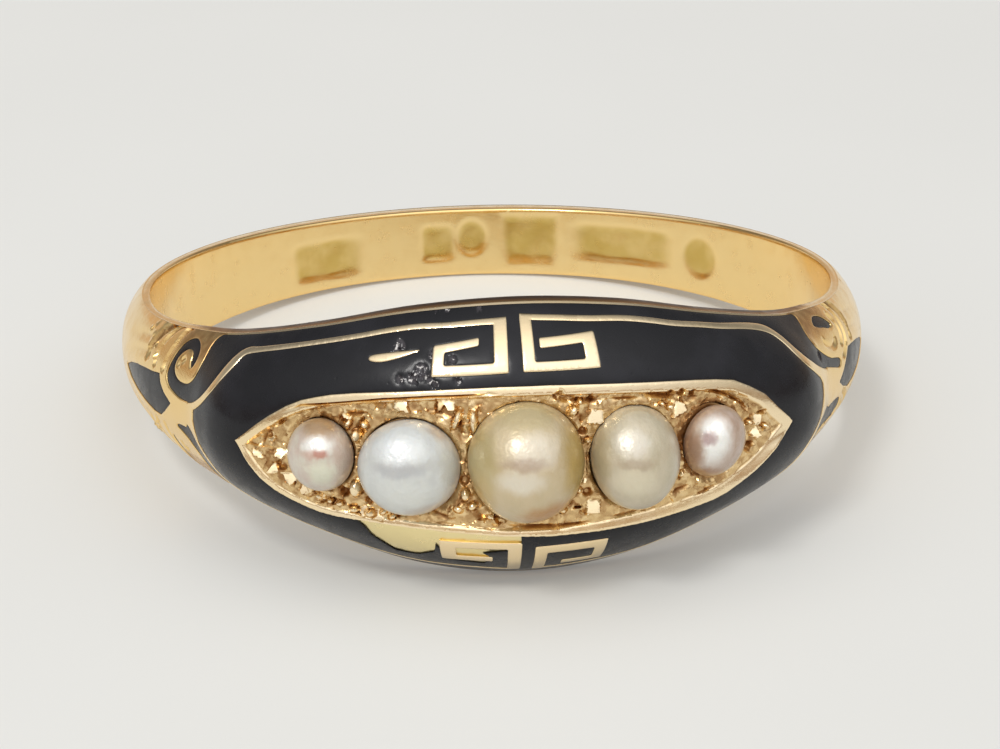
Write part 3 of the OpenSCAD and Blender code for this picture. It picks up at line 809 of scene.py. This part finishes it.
class MeshParts:
    """Collects points and faces, then makes one welded object. Three marks a point go to its material: how
    bare gold is, how dark it is with dirt and painted shade and how warm it is, how chipped enamel is, or the
    direction from a pearl's middle."""

    def __init__(self):
        self.points, self.marks, self.faces = np.empty((0, 3)), np.empty((0, 3)), []

    def add(self, points, faces, marks):
        points = np.reshape(points, (-1, 3))
        self.faces += (np.array(faces) + len(self.points)).tolist()
        self.points = np.r_[self.points, points]
        self.marks = np.r_[self.marks, 0 * points + np.reshape(marks, (-1, 3))]

    def build(self, name, sharp=38):
        welds = np.round(self.points * WELDS_PER_MM).astype(int)
        _, first, index = np.unique(welds, axis=0, return_index=True, return_inverse=True)
        index, faces = index.ravel().tolist(), []
        for face in self.faces:
            f = [index[i] for i in face]
            f = [v for i, v in enumerate(f) if v != f[i - 1]]
            if len(set(f)) > 2:
                faces.append(f)
        mesh = bpy.data.meshes.new(name)
        mesh.from_pydata(laid(self.points[first]).tolist(), [], faces)
        mesh.validate()
        layer = mesh.attributes.new("marks", "FLOAT_VECTOR", "POINT")
        layer.data.foreach_set("vector", self.marks[first].astype(np.float32).ravel())
        mesh.polygons.foreach_set("use_smooth", [True] * len(mesh.polygons))
        mesh.set_sharp_from_angle(angle=radians(sharp))
        return new_object(name, mesh)


def side_profile(angle, side):
    """The narrow side from the skin's corner to the bore, as (radius, z), with eased corners."""
    corner, edge = corner_z(angle), section(angle, EDGE)
    rows = [(edge - EDGE_WEAR, 0), (edge - .055, .008), (edge - .09, .002), (edge / 2, 0),
            (.09, 0), (.045, .008), (.015, .028), (0, .065)]
    return [(BORE_R + r + 0 * edge, side * (corner + LIP / (edge + SIDE_REACH) * (edge - r) - fall))
            for r, fall in rows]


WARM_RANGE = (40, 52)
# Painted shade on the sides of the head, standing in for the dark reflections they show, one number for each
# row of the side profile
SIDE_PAINTED_SHADE = np.array([0, .2, .9, 1.5, 1.9, 1.9, 1.2, .3])
# Blank punched marks inside the back. Columns: angle, height, half length, half width, kind
MARKS = [(-152.3,-.1,1.1,.55,"box"), (-174.2,.02,.46,.5,"box"), (-180.6,.14,.42,.5,"oval"),
    (-191.6,.1,.8,.68,"shield"), (-209.6,.08,1.52,.52,"box"), (-226,.02,.6,.58,"oval")]
MARK_DEPTH = .05


def mark_depth(angle, z):
    """Depth of the punched marks on the bore, for angles from 0 to 360."""
    depth = np.zeros(np.shape(angle))
    for at, z0, half_l, half_w, kind in MARKS:
        x = (angle - at % 360) * radians(BORE_R) / half_l
        y = (z - z0) / half_w
        if kind == "oval":
            far = np.hypot(x, y)
        elif kind == "shield":
            far = np.maximum(np.abs(x) + .25 * unit(-y) ** 2, np.abs(y))
        else:
            far = (x ** 6 + y ** 6) ** (1 / 6)
        lumps = .86 + .14 * np.sin(5 * x * half_l + 2.5 * y * half_w + at) * np.sin(4 * y * half_w + 2 * at)
        darken(depth, MARK_DEPTH * lumps * fade(far, .66, 1.18))
    return depth


def grid_faces(rows, columns, flip=False, closed=True):
    """Quads of a grid stored row by row."""
    number = np.arange(rows * columns).reshape(rows, columns)
    beyond = np.roll(number, -1, axis=1)
    quads = np.stack([number[:-1], beyond[:-1], beyond[1:], number[1:]], -1)
    quads = (quads if closed else quads[:, :-1]).reshape(-1, 4)
    return quads[:, ::-1] if flip else quads


def warmth(angle):
    """How warm the gold's colour is: rosy at the head and warm beyond the shoulders."""
    return ease(np.abs(angle), *WARM_RANGE)


def make_gold():
    """The whole ring in one closed form."""
    parts = MeshParts()
    angle, z, numbers = PLAN[:, 0] / ARC, PLAN[:, 1], []
    base = skin(angle, z)
    for region, depth in enumerate(DEPTHS):
        faces = FACES[REGION == region]
        used, number = used_by(faces)
        numbers.append((number + len(parts.points)).tolist())
        height, dirt_and_shade = relief(PLAN[used], TO_EDGE[used], region)
        parts.add(ring_points(base[used] - depth + height, angle[used], z[used]), number[faces],
                  np.c_[0 * dirt_and_shade + (region == BARE_FLOOR), dirt_and_shade, warmth(angle[used])])
    for a, b, here, beyond in boundary_edges(FACES, REGION):
        if (DEPTHS[here], here) < (DEPTHS[beyond], beyond):
            top, low = numbers[here], numbers[beyond]
            parts.faces.append((top[b], top[a], low[a], low[b]))
    around, share = np.meshgrid(BACK_COLUMNS, BACK_ROWS)
    angle = folded(around)
    z = share * corner_z(angle)
    parts.add(ring_points(skin(angle, z), around, z), grid_faces(*z.shape, closed=False), (0, 0, 1))
    add_sides_and_bore(parts)
    return parts.build("gold_form")


def folded(around):
    return np.where(around > 180, around - 360, around)


def add_sides_and_bore(parts, bore_rows=29):
    columns = np.r_[HEAD_COLUMNS, BACK_COLUMNS[1:-1]]
    angle, n = folded(columns), len(columns)
    # Painted shade on the head's sides, fading out beyond the shoulders.
    side_shade = SIDE_PAINTED_SHADE[:, None] * fade(np.abs(angle), 40, 66)
    for side in (1, -1):
        rows = [ring_points(r, columns, z) for r, z in side_profile(angle, side)]
        parts.add(rows, grid_faces(len(rows), n, side < 0),
                  np.stack([0 * side_shade, side_shade, warmth(angle) + 0 * side_shade], -1))
    _, top = side_profile(angle, 1)[-1]
    z = np.linspace(1, -1, bore_rows)[:, None] * top
    marks = mark_depth(columns % 360 + 0 * z, z)
    parts.add(ring_points(BORE_R + marks, columns + 0 * z, z), grid_faces(bore_rows, n),
              np.stack([.2 + 0 * marks, 0 * marks, 1 + marks / MARK_DEPTH], -1))


ENAMEL_DROP, ENAMEL_GAP, CHIP_DEPTH = .018, .005, .05


def make_enamel(name, region):
    """Enamel that fills a region of the plan, with small chips."""
    chosen = REGION == region
    used, number = used_by(FACES[chosen])
    faces, points = number[FACES[chosen]], PLAN[used]
    rim = [(number[a], number[b]) for a, b, mine, _ in boundary_edges(FACES, chosen) if mine]
    drop = ENAMEL_DROP + .014 * np.exp(-TO_EDGE[used] / .03)
    chips, lumps = np.zeros(len(points)), cells(points, .075, 21)[0]
    for angle, z, r in PITS:
        q = np.hypot(*local(points, angle, z)) / r
        darken(chips, CHIP_DEPTH * unit(1.3 - q) * (1 + .8 * lumps))
    pull, middle = np.zeros_like(points), points[faces].mean(1)
    for k in range(3):
        np.add.at(pull, faces[:, k], middle - points[faces[:, k]])
    on_rim = np.unique(rim)
    points[on_rim] += normed(pull[on_rim]) * ENAMEL_GAP
    angle, z, n = points[:, 0] / ARC, points[:, 1], len(points)
    base, parts = skin(angle, z), MeshParts()
    parts.add([ring_points(r, angle, z) for r in (base - drop - chips, base - RECESS + .01)],
              np.vstack([faces, faces[:, ::-1] + n]),
              np.r_[unit(chips / .04), 0 * chips][:, None] * (1, 0, 0))
    parts.faces += [(b, a, a + n, b + n) for a, b in rim]
    return parts.build(name)


PEARL_ROWS, PEARL_COLUMNS = 61, 96


def make_pearl(number):
    """An uneven half pearl with a flat underside."""
    angle, z, along, across, reach, lean_right, lean_up = PEARLS[number - 1]
    bump_ways = normed(np.random.default_rng(40 + number).normal(size=(6, 3)))
    lat = np.linspace(0, np.pi, PEARL_ROWS)[:, None]
    lon = np.linspace(0, 2 * np.pi, PEARL_COLUMNS, endpoint=False)
    ball = np.stack([np.sin(lat) * np.cos(lon), np.sin(lat) * np.sin(lon), np.cos(lat) + 0 * lon], -1)
    ball = ball.reshape(-1, 3)
    swell = 1 + sum(.012 * np.cos(3 * np.arccos(np.clip(ball @ w, -1, 1))) for w in bump_ways) / 2
    if number == 1:
        swell -= .035 * bell(ball[:, 1], .1, .13) * ease(ball[:, 2], .4, .95)
    if number == 5:
        swell -= .04 * np.exp(-length(ball - (-.66, .25, .71)) ** 2 / .03)
    points = ball * np.minimum(swell, 1)[:, None] * (along, across, reach)
    points[:, 2] += points[:, 0] * lean_right + points[:, 1] * lean_up
    seat = skin(angle, z) - RECESS + .035 - BORE_R - PEARL_LIFT
    points[:, 2] = np.maximum(points[:, 2], seat)
    c, s = toward(angle)
    parts = MeshParts()
    parts.add((points + (0, z, BORE_R + PEARL_LIFT)) @ [(c, s, 0), (0, 0, 1), (s, -c, 0)],
              grid_faces(PEARL_ROWS, PEARL_COLUMNS), ball)
    return parts.build("pearl_%d_form" % number, sharp=60)


# Materials

class Nodes:
    """The nodes of a material or a world, with short calls to add them."""

    def __init__(self, owner):
        owner.use_nodes = True
        self.owner, self.tree = owner, owner.node_tree

    def plug(self, made, inputs):
        """Sets a node's inputs to values, or links them to sockets."""
        for key, value in inputs.items():
            if isinstance(value, bpy.types.NodeSocket):
                self.tree.links.new(value, made.inputs[key])
            else:
                made.inputs[key].default_value = value

    def add(self, kind, inputs={}, **settings):
        made = self.tree.nodes.new("ShaderNode" + kind)
        for key, value in settings.items():
            setattr(made, key, value)
        self.plug(made, inputs)
        return made.outputs

    def surface(self, inputs):
        """Sets the shader's inputs and gives the material."""
        self.plug(self.tree.nodes["Principled BSDF"], inputs)
        return self.owner

    def place(self):
        return self.add("TexCoord")["Object"]

    def noise(self, scale, detail=3, roughness=.5, vector=None, output="Fac"):
        return self.add("TexNoise", {"Vector": vector or self.place(), "Scale": scale, "Detail": detail,
                                     "Roughness": roughness})[output]

    def span(self, *value_from_and_to):
        return self.add("MapRange", dict(enumerate(value_from_and_to)), interpolation_type="SMOOTHSTEP")[0]

    def times(self, a, b, plus=0):
        return self.add("Math", {0: a, 1: b, 2: plus}, operation="MULTIPLY_ADD")[0]

    def vector(self, operation, *values, output=0):
        return self.add("VectorMath", dict(enumerate(values)), operation=operation)[output]

    def mix(self, share, a, b):
        a, b = (c if isinstance(c, bpy.types.NodeSocket) else (*c, 1) for c in (a, b))
        return self.add("Mix", {0: share, 6: a, 7: b}, data_type="RGBA")[2]

    def marks(self):
        return self.add("Attribute", attribute_name="marks")["Vector"]

    def parts(self, vector):
        return self.add("SeparateXYZ", {"Vector": vector})

    def bump(self, height, strength, distance, **under):
        return self.add("Bump", {"Height": height, "Strength": strength, "Distance": distance, **under})[0]


ROSY_GOLD = (.99, .81, .54)
SOFT_GOLD = (.99, .79, .48)
WARM_GOLD = (.95, .68, .3)
YELLOW_GOLD = (.92, .78, .42)
OLIVE_GOLD = (.66, .46, .13)
# Brown of dirt and painted shade, and the deep brown of the painted shade on the head's sides.
DIRT_AND_SHADE_BROWN = (.35, .17, .06)
DEEP_PAINTED_SHADE = (.06, .03, .02)


def gold_material():
    """Rosy gold, yellower where enamel is lost and in the punched marks, brown with dirt and painted shade in
    the cuts and hollows, and darkest with painted shade on the head's sides.
    """
    n = Nodes(bpy.data.materials.new("gold"))
    bare, dirt_and_shade, warm = n.parts(n.marks())
    colour = n.mix(n.span(n.noise(420, 4), .35, .7), ROSY_GOLD, SOFT_GOLD)
    punched = n.times(n.span(n.noise(1300), .3, .7, .55, 1), n.span(warm, 1.1, 1.9))
    grime = n.span(n.noise(5000), .25, .75, -.18, .18)
    dirt_and_shade_share = n.span(n.times(grime, dirt_and_shade, dirt_and_shade), .12, .95, 0, .95)
    for share, shade in ((n.span(dirt_and_shade, .15, .5, 0, .7), WARM_GOLD), (warm, WARM_GOLD), (bare, YELLOW_GOLD),
                         (punched, OLIVE_GOLD), (dirt_and_shade_share, DIRT_AND_SHADE_BROWN), (n.span(dirt_and_shade, 1, 1.8), DEEP_PAINTED_SHADE)):
        colour = n.mix(share, colour, shade)
    rough = n.span(n.noise(2200, 4, .55), .3, .75, .14, .27)
    rough = n.times(dirt_and_shade_share, .18, n.times(bare, .12, rough))
    along = n.add("Mapping", {"Vector": n.place(), "Scale": (1, 1, 7), "Rotation": (.3, .2, .5)})[0]
    waves = n.bump(n.noise(520, 2), .28, .00008)
    normal = n.bump(n.noise(4200, 4, .6, along), .16, .00001, Normal=waves)
    return n.surface({"Base Color": colour, "Metallic": 1, "Roughness": rough, "Normal": normal})


def enamel_material():
    """Glossy black, greyer and glossier in the chips, with painted glints speckled over them."""
    n = Nodes(bpy.data.materials.new("black_enamel"))
    chip, _, _ = n.parts(n.marks())
    colour = n.mix(n.span(n.noise(700, 4), .4, .75), (.006, .006, .008), (.014, .014, .018))
    colour = n.mix(n.span(chip, .2, .9), colour, (.05, .045, .05))
    # Painted glints: pale specks in the chips.
    painted_glints = n.times(n.span(n.noise(11000, 2), .58, .66), n.span(chip, .3, .7))
    colour = n.mix(painted_glints, colour, (.62, .6, .58))
    rough = n.times(n.span(n.noise(1500, 5, .65), .3, .75, .2, .4), n.span(chip, .1, .6, 1, .3))
    fine = n.bump(n.noise(9000, 3, .6), .16, .00001)
    pits = n.add("TexVoronoi", {"Vector": n.place(), "Scale": 2600})["Distance"]
    normal = n.bump(n.span(pits, .04, .12), .3, .00001, Normal=fine)
    normal = n.bump(n.noise(450, 2), .25, .0001, Normal=normal)
    return n.surface({"Base Color": colour, "Roughness": rough, "IOR": 1.5, "Specular IOR Level": .32,
                      "Normal": normal})


# Colour of each pearl: body, clouds, then patches. The patches hold the nacre's own tints and also painted
# light:
# pale painted highlight zones, painted reflections of the dark horizon and of the floor, and painted shade.
# Columns: middle as a direction along, across and outward, half widths along and across, strength, red,
# green, blue
LOOKS = [
    # First pearl: painted shade on the brown top, a painted highlight zone in the pale patch up the middle
    # and a painted reflection of the floor in the pale patch low down; the red band and spot are the nacre's
    # own.
    ((.6,.5,.42), (.64,.6,.5), [
        (.11,.96,.24,.7,.5,.9,.38,.23,.1), (.98,.13,.17,.36,.8,.7,.56,.42,.33),
        (.43,-.24,.87,.5,.42,.8,.7,.71,.56), (.26,.52,.8,.56,.28,.9,.84,.83,.78),
        (.24,.29,.92,.52,.15,.6,.58,.37,.29), (.38,.31,.86,.24,.12,.8,.5,.22,.16)]),
    # Second pearl: a painted highlight zone in the pale patch near the top, a painted reflection of the dark
    # horizon in the grey band above the middle and a painted reflection of the floor in the pale patch below.
    ((.61,.63,.61), (.67,.69,.66), [
        (-.09,.61,.79,.5,.34,.6,.78,.8,.8), (.6,.78,.05,.28,.24,.6,.55,.45,.34),
        (.46,-.76,.47,.56,.28,.8,.5,.44,.38), (.15,-.3,.93,.62,.36,.7,.72,.74,.7),
        (-.02,.24,.97,.62,.18,.7,.44,.45,.46)]),
    # Third pearl: painted shade in the olive top, a painted highlight zone in the pale patch above the
    # middle, a painted reflection of the floor in the pale band just below the middle and a painted
    # reflection of the dark horizon in the brown band above it; the amber crescent at the bottom is the
    # nacre's own.
    ((.58,.47,.29), (.55,.45,.27), [
        (-.84,.2,.45,.42,.8,.9,.46,.37,.17), (0,.9,.4,.74,.28,.8,.47,.38,.19),
        (.1,.42,.9,.52,.36,.7,.75,.69,.57), (.86,.06,.48,.4,.85,1,.44,.3,.08),
        (-.82,-.41,.4,.36,.5,.8,.52,.37,.14), (.38,-.75,.52,.66,.34,1,.44,.21,.03),
        (-.17,-.06,.98,.5,.24,.8,.72,.67,.55), (-.1,.23,.97,.46,.13,.7,.42,.31,.22)]),
    # Fourth pearl: a painted highlight zone in the pale patch up-left, a painted reflection of the dark
    # horizon in the band above the middle and a painted reflection of the floor in the paler patch below the
    # middle.
    ((.57,.5,.36), (.51,.45,.31), [
        (-.34,.5,.79,.46,.3,.6,.75,.71,.62), (-.95,.31,.03,.42,.65,.6,.4,.33,.19),
        (-.3,-.24,.93,.56,.36,.8,.66,.6,.44), (.8,.11,.58,.28,.6,.6,.58,.53,.42),
        (-.36,.13,.92,.48,.13,.7,.43,.35,.25), (.2,-.86,.45,.6,.25,.7,.44,.35,.21)]),
    # Fifth pearl: painted shade in the brown patch at the bottom, where it sits in its seat; the mauve spot
    # is the nacre's own.
    ((.46,.33,.24), (.54,.41,.33), [
        (-.6,.34,.72,.64,.88,1,.86,.86,.82), (-.45,-.78,.45,.62,.34,1,.36,.19,.09),
        (-.97,-.1,.15,.3,.8,.9,.4,.24,.15), (-.76,.39,.62,.32,.24,.85,.46,.32,.31)]),
]


def pearl_material(number):
    """Nacre with soft patches of colour, placed by direction from the pearl's middle: the nacre's own tints,
    and painted highlights, painted reflections and painted shade.
    """
    body, clouds, patches = LOOKS[number - 1]
    n = Nodes(bpy.data.materials.new("nacre_%d" % number))
    way = n.marks()
    streaked = n.add("Mapping", {"Vector": way, "Location": (number, 0, 0), "Scale": (1.6, .9, 1)})[0]
    colour = n.mix(n.span(n.noise(2.6, 4, .55, streaked), .35, .7), body, clouds)
    drift = n.vector("SUBTRACT", n.noise(3, vector=streaked, output="Color"), (.5, .5, .5))
    moved = n.vector("MULTIPLY_ADD", drift, (.28, .22, .1), way)
    for x, y, z, along, across, strength, *shade in patches:
        widths = (1 / along, 1 / across, 1 / max(along, across))
        scaled = n.vector("MULTIPLY", n.vector("SUBTRACT", moved, (x, y, z)), widths)
        far = n.vector("LENGTH", scaled, output="Value")
        colour = n.mix(n.span(far, .4, 1.2, strength, 0), colour, shade)
    lumps = n.bump(n.noise(3.2, 3, .55, way), .5, .0001)
    fine = n.bump(n.noise(16, 3, .6, way), .25, .00001, Normal=lumps)
    return n.surface({"Base Color": colour, "Metallic": .2, "Roughness": .36, "Specular IOR Level": .6,
                      "Subsurface Weight": .25, "Subsurface Radius": (1, .8, .6),
                      "Subsurface Scale": .0003, "Coat Weight": .8, "Coat Roughness": .14, "Normal": fine})


def floor_material():
    n = Nodes(bpy.data.materials.new("pale_floor"))
    colour = n.mix(n.noise(60, 2), (.58, .58, .555), (.62, .62, .595))
    return n.surface({"Base Color": colour, "Emission Color": (1, 1, .97, 1), "Emission Strength": .15,
                      "Roughness": .6, "Specular IOR Level": .25})


# Camera, floor and light

ROOM_LOW, ROOM_RISE, ROOM_TOP, ROOM_FRONT, ROOM_BEHIND = .2, .8, .25, .88, .6
HORIZON_LIGHT, SKY_LIGHT = (1, .74, .52), (1, 1, 1.01)
LAMP_PLACE, LAMP_AIM = Vector((-.1, -.14, .25)), Vector((0, 0, .003))
LAMP_SIZE, LAMP_POWER, LAMP_COLOUR = (.075, .06), .27, (1, .98, .95)
CAMERA_AZIMUTH, CAMERA_ELEVATION, CAMERA_ROLL = -3.923, 16.340, -.936
CAMERA_DISTANCE = .08
FOCAL_PX, PHOTO_W = 3131.5, 1000
# Where the middle of the bore lies in the photo, from its centre
BORE_X, BORE_Y = -9.04, -46.90
FLOOR_REACH = 1.2


def make_camera():
    def turned(angle, axis):
        return Matrix.Rotation(angle, 4, axis)
    data = bpy.data.cameras.new("camera")
    data.sensor_width = 36
    data.lens = FOCAL_PX / PHOTO_W * data.sensor_width
    data.clip_start, data.clip_end = .002, 5
    camera = new_object("camera", data)
    camera.matrix_world = (
        POSE @ turned(radians(CAMERA_AZIMUTH), "Z") @ turned(radians(90 - CAMERA_ELEVATION), "X")
        @ Matrix.Translation((0, 0, CAMERA_DISTANCE)) @ turned(radians(CAMERA_ROLL), "Z")
        @ turned(atan2(BORE_X, FOCAL_PX), "Y") @ turned(atan2(BORE_Y, hypot(BORE_X, FOCAL_PX)), "X"))
    bpy.context.scene.camera = camera


def make_floor():
    mesh, r = bpy.data.meshes.new("floor"), FLOOR_REACH
    mesh.from_pydata([(-r, -r, 0), (r, -r, 0), (r, r, 0), (-r, r, 0)], [], [(0, 1, 2, 3)])
    mesh.materials.append(floor_material())
    floor = new_object("floor", mesh)


def make_lamp():
    """One small lamp high on the left."""
    data = bpy.data.lights.new("lamp", "AREA")
    data.shape, data.size, data.size_y = "RECTANGLE", *LAMP_SIZE
    data.energy, data.color = LAMP_POWER, LAMP_COLOUR
    lamp = new_object("lamp", data)
    lamp.location = LAMP_PLACE
    lamp.rotation_euler = (LAMP_AIM - LAMP_PLACE).to_track_quat("-Z", "Y").to_euler()


def make_room():
    """A pale room, brightest overhead and in front."""
    world = bpy.data.worlds.new("studio")
    bpy.context.scene.world = world
    n = Nodes(world)
    _, y, z = n.parts(n.add("TexCoord")["Generated"])
    up = n.add("Math", {0: z, 1: 0}, operation="MAXIMUM")[0]
    top = n.times(n.times(up, up), up)
    level = n.times(top, ROOM_TOP, n.times(up, ROOM_RISE, ROOM_LOW))
    back = n.times(n.span(y, .2, .9), n.span(z, .05, .45, 1, 0))
    strength = n.times(back, ROOM_BEHIND, n.times(level, n.times(y, -ROOM_FRONT, 1)))
    colour = n.mix(n.span(z, .05, .35), HORIZON_LIGHT, SKY_LIGHT)
    n.plug(n.tree.nodes["Background"], {"Color": colour, "Strength": strength})


def dress(obj, replaced, material):
    obj.data.materials.append(material)
    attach(obj, "root")
    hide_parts(replaced)


def make_ring():
    enamel = enamel_material()
    dress(make_gold(), "gold_ring", gold_material())
    for name, replaced, region in (("head_enamel_form", "head_enamel", ENAMEL),
                                   ("left_panel_form", "left_shoulder_enamel", PANEL_L),
                                   ("right_panel_form", "right_shoulder_enamel", PANEL_R)):
        dress(make_enamel(name, region), replaced, enamel)
    slots = ["rosy_pearl", "white_pearl", "cream_pearl", "grey_pearl", "rosy_pearl"]
    for number, slot in enumerate(slots, 1):
        dress(make_pearl(number), "pearl_%d" % number, pearl_material(number))


bpy.context.scene.view_settings.view_transform = "Standard"
make_camera()
make_floor()
make_room()
make_lamp()
make_ring()
